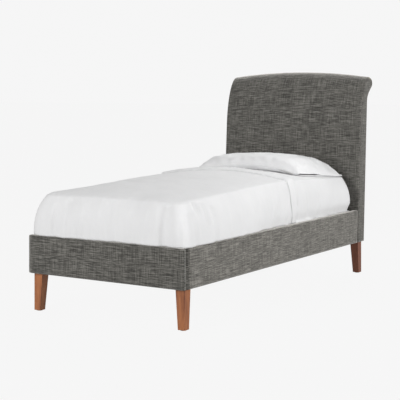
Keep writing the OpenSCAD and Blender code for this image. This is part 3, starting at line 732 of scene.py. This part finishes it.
def bedding(name, lift, extra=0.0, rise=0.0, bottom=TUCK_Z):
    """The made bed's surface, grown outwards by lift: the domed top, the soft edge, the
    skirt over the rails, and the cloth tucked down inside them to bottom. The skirt's foot
    stands out by extra more, and rise lifts the surface from just before the hem on. Returns
    the piece and the vertices of its lowest ring."""
    verts, faces = [], []
    index = {}
    mid = (EDGE_HEAD + EDGE_FOOT) / 2

    def off(y):
        return lift + rise * smooth((y - HEM_Y + 0.08) / 0.08)

    for k in range(RINGS + 1):
        m = k / RINGS
        total = max(8 * k, 1)
        for i in range(total):
            if k == 0:
                x, y = 0.0, mid
            else:
                ex, ey, _, _ = ring_point(4.0 * i / total)
                x, y = ex * m, mid + (ey - mid) * m
            z = top_height(x, y) + creases(x, y) * smooth((1 - m) * 6) + off(y)
            index[(k, i)] = len(verts)
            verts.append([x, y, z])
    for k in range(RINGS):
        inner, outer = max(8 * k, 1), 8 * (k + 1)
        for side in range(4):
            for j in range(2 * (k + 1)):
                o0 = index[(k + 1, (side * 2 * (k + 1) + j) % outer)]
                o1 = index[(k + 1, (side * 2 * (k + 1) + j + 1) % outer)]
                if k == 0:
                    faces.append((index[(0, 0)], o0, o1))
                    continue
                j0 = min(max(j - 1, 0), 2 * k)
                j1 = min(j, 2 * k)
                i0 = index[(k, (side * 2 * k + j0) % inner)]
                i1 = index[(k, (side * 2 * k + j1) % inner)]
                if j in (0, 2 * k + 1):
                    faces.append((i0, o0, o1))
                else:
                    faces.append((i0, o0, o1, i1))
    total = 8 * RINGS
    edge = [ring_point(4.0 * i / total) for i in range(total)]
    travelled, run = 0.0, []
    for i in range(total):
        run.append(travelled)
        a, b = edge[i], edge[(i + 1) % total]
        travelled += math.hypot(b[0] - a[0], b[1] - a[1])
    previous = [index[(RINGS, i)] for i in range(total)]
    for t in STATIONS + list(TUCKED):
        row = []
        for i in range(total):
            x, y, normal, corner = edge[i]
            edge_z = top_height(x, y)
            s = run[i]
            low = SKIRT_LOW + 0.004 * abs(wave(7 * s, 0.0, 1.0)) + 0.4 * lift
            size = bulge(x, y, normal, corner)
            front = smooth((-normal[1] - 0.2) / 0.5)
            pulled = lerp(curve(SIDE_TUCKED, y), 0.0, front)
            crisp = CRISP * max(front, 1 - smooth((y - 0.1) / 0.5))
            if t <= 1.0:
                shape = 1 - (1 - t) ** 2.6
                shape *= 1 - pulled * smooth((t - 0.74) / 0.26)
                out = (size - crisp) * shape + crisp * smooth(t / 0.05)
                out += folds(s, t) + off(y) + extra * t
                drop = t - 0.035 * math.sin(math.pi * t)
                z = lerp(edge_z + off(y), low, clamp(drop + 0.25 * t * (1 - t) ** 6))
                px, py = x + normal[0] * out, y + normal[1] * out
            else:
                tx = max(-TUCK_X, min(TUCK_X, x * TUCK_X / EDGE_X * 1.2))
                ty = max(TUCK_FOOT, min(TUCK_HEAD, mid + (y - mid) * 1.2))
                slack = 0.0012 - min(lift, 0.0012)
                px, py = tx - normal[0] * slack, ty - normal[1] * slack
                z = lerp(RAIL_TOP + 0.0012, bottom, TUCKED[t])
            row.append(len(verts))
            verts.append([px, py, z])
        for i in range(total):
            j = (i + 1) % total
            faces.append((previous[i], row[i], row[j], previous[j]))
        previous = row
    verts = [(x, y + FOOT_Y, z) for x, y, z in verts]
    return make_mesh(name, verts, faces), previous


def cut_at(piece, y, keep_low, warp):
    """Cuts a piece along the plane y after bending it by warp(x, z), and bends it back."""
    bm = bmesh.new()
    bm.from_mesh(piece.data)
    for v in bm.verts:
        v.co.y -= warp(v.co.x, v.co.z)
    bmesh.ops.bisect_plane(bm, geom=bm.verts[:] + bm.edges[:] + bm.faces[:], dist=1e-6,
                           plane_co=(0, y, 0), plane_no=(0, 1, 0),
                           clear_outer=keep_low, clear_inner=not keep_low)
    for v in bm.verts:
        v.co.y += warp(v.co.x, v.co.z)
    bm.to_mesh(piece.data)
    bm.free()
    piece.data.shade_smooth()
    return piece


def hem_line(x, z):
    """How far the hem strays from straight across, towards the head."""
    return 0.004 * wave(2.2 * x, 3.0 * z, 31.0) + 0.012 * smooth((0.6 - z) / 0.2)


mattress, rim = bedding("mattress_ticking", -0.0045, bottom=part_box("mattress")[0][2])
verts = [tuple(v.co) for v in mattress.data.vertices]
faces = [tuple(p.vertices) for p in mattress.data.polygons] + [tuple(reversed(rim))]
bpy.data.objects.remove(mattress)
mattress = make_mesh("mattress_body", verts, faces)      # the same, closed underneath
dress(mattress, TICKING, "mattress_set", ["mattress"])

fitted, _ = bedding("fitted_sheet_cloth", 0.0)
dress(solidify(fitted, SHEETING_T, even=False), SHEETING, "mattress_set",
      ["fitted_sheet"])

top, _ = bedding("top_sheet_cloth", 0.0030, extra=0.002, rise=0.019)
cut_at(top, FOOT_Y + HEM_Y, True, hem_line)
dress(solidify(top, 0.0014, even=False), SHEETING, "mattress_set", ["top_sheet"])

hem, _ = bedding("top_sheet_hem", 0.0056, extra=0.002, rise=0.019)
cut_at(hem, FOOT_Y + HEM_Y + 0.001, True, hem_line)
cut_at(hem, FOOT_Y + HEM_Y - 0.055, False, hem_line)
dress(solidify(hem, 0.0022, even=False), SHEETING, "mattress_set")


# -------------------------------------------------------------------------- pillow

PILLOW_X = (-0.455, 0.385)
PILLOW_Y = (1.568, 2.078)
PILLOW_T = 0.106            # height over the bed at its middle
CASE_LIP = 0.050            # the case's open end past the pillow


def pillow_thickness(u, v, flat_end):
    """Share of the full height at (u, v), each from -1 to 1."""
    right = 6.0 if flat_end else 5.0
    end = (1 - abs(u) ** 9.0) ** 0.6 if u < 0 else (1 - abs(u) ** right) ** 0.7
    return end * (1 - abs(v) ** (4.6 if v < 0 else 3.0)) ** 0.60


def pillow_point(u, v, layer, grow, lip, cased):
    """Point of the pillow or its case; layer 1 is the top skin and -1 the lower one."""
    cx = (PILLOW_X[0] + PILLOW_X[1] + lip) / 2
    hx = (PILLOW_X[1] + lip - PILLOW_X[0]) / 2 + grow
    cy, hy = sum(PILLOW_Y) / 2, (PILLOW_Y[1] - PILLOW_Y[0]) / 2 + grow
    x = cx + hx * u * (1 - 0.075 * (1 - v)) * (1 - 0.030 * (1 - v * v) * abs(u) ** 3 * (u < 0))
    y = cy + hy * v * (1 - 0.055 * (1 - u * u) * abs(v) ** 3)
    bed = top_height(x, y) + 0.0032
    if x > EDGE_X:
        bed -= 1.1 * (x - EDGE_X)
    droop = 0.006 * smooth((u - 0.70) / 0.30) if cased else 0.0
    t = pillow_thickness(u, v, cased)
    low_end = 1 - 0.85 * smooth((u - 0.55) / 0.45)
    seam = bed + 0.004 + (0.020 + 0.014 * (1 - abs(u)) + 0.010 * smooth(abs(u * v) ** 4)) * low_end
    if layer < 0:
        return x, y, max(bed - 0.8 * min(grow, 0.0), seam - 0.060 * t - grow)
    z = seam + (bed + PILLOW_T - seam) * t
    wrinkle = (0.0110 * wave(6 * x + 5 * y, 12 * y - 4 * x, 41.0)
               + 0.0090 * wave(17 * x + 8 * y, 21 * y, 43.0)
               + 0.0085 * wave(9 * x - 14 * y, 30 * y + 12 * x, 44.0))
    z += wrinkle * smooth(t * 2.0) * (0.30 + 1.3 * (1 - t)) + grow - droop
    return x, y, z


def pillow_shell(grow, lip, cased):
    """Vertices, faces and cloth coordinates of a pillow skin; a case is left open at +X."""
    verts, uvs = [], []
    nu, nv = 120, 70
    reach = math.sin(math.pi / 2 * 0.97)      # steps are closer together at the edges
    for layer in (1, -1):
        for j in range(nv + 1):
            for i in range(nu + 1):
                u = math.sin(math.pi / 2 * (2 * i / nu - 1) * 0.97) / reach
                v = math.sin(math.pi / 2 * (2 * j / nv - 1) * 0.97) / reach
                x, y, z = pillow_point(u, v, layer, grow, lip, cased)
                if cased and u > 0.86:
                    flare = (u - 0.86) / 0.14
                    z += (0.013 * flare * smooth(0.6 - v) + 0.003 * flare
                          * wave(14 * y, 3.0, 51.0)) * (layer > 0)
                verts.append((x, y + FOOT_Y, z))
                uvs.append((x, y))
    cols, rows = nu + 1, nv + 1
    n = rows * cols
    faces = grid_faces(rows, cols)
    faces += [tuple(reversed([k + n for k in f])) for f in grid_faces(rows, cols)]
    front = list(range(cols))
    right = [j * cols + nu for j in range(1, rows)]
    rear = [nv * cols + i for i in range(nu - 1, -1, -1)]
    left = [j * cols for j in range(nv - 1, 0, -1)]
    rim = front + right + rear + left
    for a, b in zip(rim, rim[1:] + rim[:1]):
        if not (cased and a % cols == nu and b % cols == nu):
            faces.append((a, a + n, b + n, b))
    return verts, faces, uvs


verts, faces, uvs = pillow_shell(-0.005, 0.0, False)
pillow = make_mesh("pillow_body", verts, faces, uvs)
dress(pillow, TICKING, "pillow_set", ["pillow"])

verts, faces, uvs = pillow_shell(0.0, CASE_LIP, True)
case = make_mesh("pillowcase_cloth", verts, faces, uvs)
dress(solidify(case, SHEETING_T, even=False), SHEETING, "pillow_set", ["pillowcase"])


# ------------------------------------------------------------------ studio and view

def studio():
    """White floor that takes almost no shadow, a banded grey sky and three lamps."""
    scene = bpy.context.scene
    scene.view_settings.view_transform = "Standard"
    scene.view_settings.look = "None"
    floor_mat, tree, shader = new_material("studio_floor")
    coord = tree.nodes.new("ShaderNodeTexCoord").outputs["Object"]
    tone = stretched_noise(tree, coord, (0.3, 0.3, 0.3), 1, 0.5)
    tree.links.new(ramp(tree, tone, ((0.2, (0.010, 0.010, 0.010)), (0.8, (0.012, 0.012, 0.012)))),
                   shader.inputs["Base Color"])
    shader.inputs["Roughness"].default_value = 1.0
    shader.inputs["Specular IOR Level"].default_value = 0.0
    shader.inputs["Emission Color"].default_value = (1, 1, 1, 1)
    shader.inputs["Emission Strength"].default_value = 0.912
    size = 60.0
    floor = make_mesh("studio_floor", [(-size, -size, 0), (size, -size, 0), (size, size, 0),
                                       (-size, size, 0)], [(0, 1, 2, 3)])
    floor.data.materials.append(floor_mat)
    floor.visible_diffuse = False
    floor.visible_glossy = False

    world = bpy.data.worlds.new("studio")
    scene.world = world
    world.use_nodes = True
    tree = world.node_tree
    tree.nodes.clear()
    out = tree.nodes.new("ShaderNodeOutputWorld")
    back = tree.nodes.new("ShaderNodeBackground")
    coord = tree.nodes.new("ShaderNodeTexCoord").outputs["Generated"]
    split = tree.nodes.new("ShaderNodeSeparateXYZ")
    tree.links.new(coord, split.inputs[0])
    level = math_node(tree, "ADD", math_node(tree, "MULTIPLY", split.outputs["Z"], 0.5), 0.5)
    sky = ramp(tree, level, ((0.0, (0.30,) * 3), (0.46, (0.36,) * 3), (0.49, (0.92,) * 3),
                             (0.545, (0.92,) * 3), (0.60, (0.42,) * 3), (1.0, (0.12,) * 3)))
    tree.links.new(sky, back.inputs["Color"])
    back.inputs["Strength"].default_value = 1.0
    tree.links.new(back.outputs[0], out.inputs["Surface"])

    for name, at, aim, size, power in (
            ("key", (-0.6, -6.2, 2.3), (-0.1, 0, 0.6), 2.2, 195),
            ("right", (6.0, -0.2, 2.6), (0, 0.4, 0.6), 2.0, 250),
            ("head", (0.0, 2.4, 3.0), (0, 1.1, 1.25), 0.8, 52)):
        data = bpy.data.lights.new(name, "AREA")
        data.size = size
        data.energy = power
        lamp = bpy.data.objects.new(name, data)
        lamp.location = at
        lamp.rotation_euler = (Vector(aim) - Vector(at)).to_track_quat("-Z", "Y").to_euler()
        bpy.context.collection.objects.link(lamp)


studio()

CAMERA_X, CAMERA_Y, CAMERA_Z = 3.70678, -4.83322, 1.27604
CAMERA_TURN = 0.56824       # radians about Z; the camera is level
LENS = 100.89
SHIFT_Y = -0.2863
camera = bpy.data.objects.new("camera", bpy.data.cameras.new("camera"))
bpy.context.collection.objects.link(camera)
camera.location = (CAMERA_X, CAMERA_Y + FOOT_Y, CAMERA_Z)
camera.rotation_euler = (math.radians(90), 0, CAMERA_TURN)
camera.data.lens = LENS
camera.data.sensor_width = 36
camera.data.shift_y = SHIFT_Y
camera.data.clip_end = 200
bpy.context.scene.camera = camera
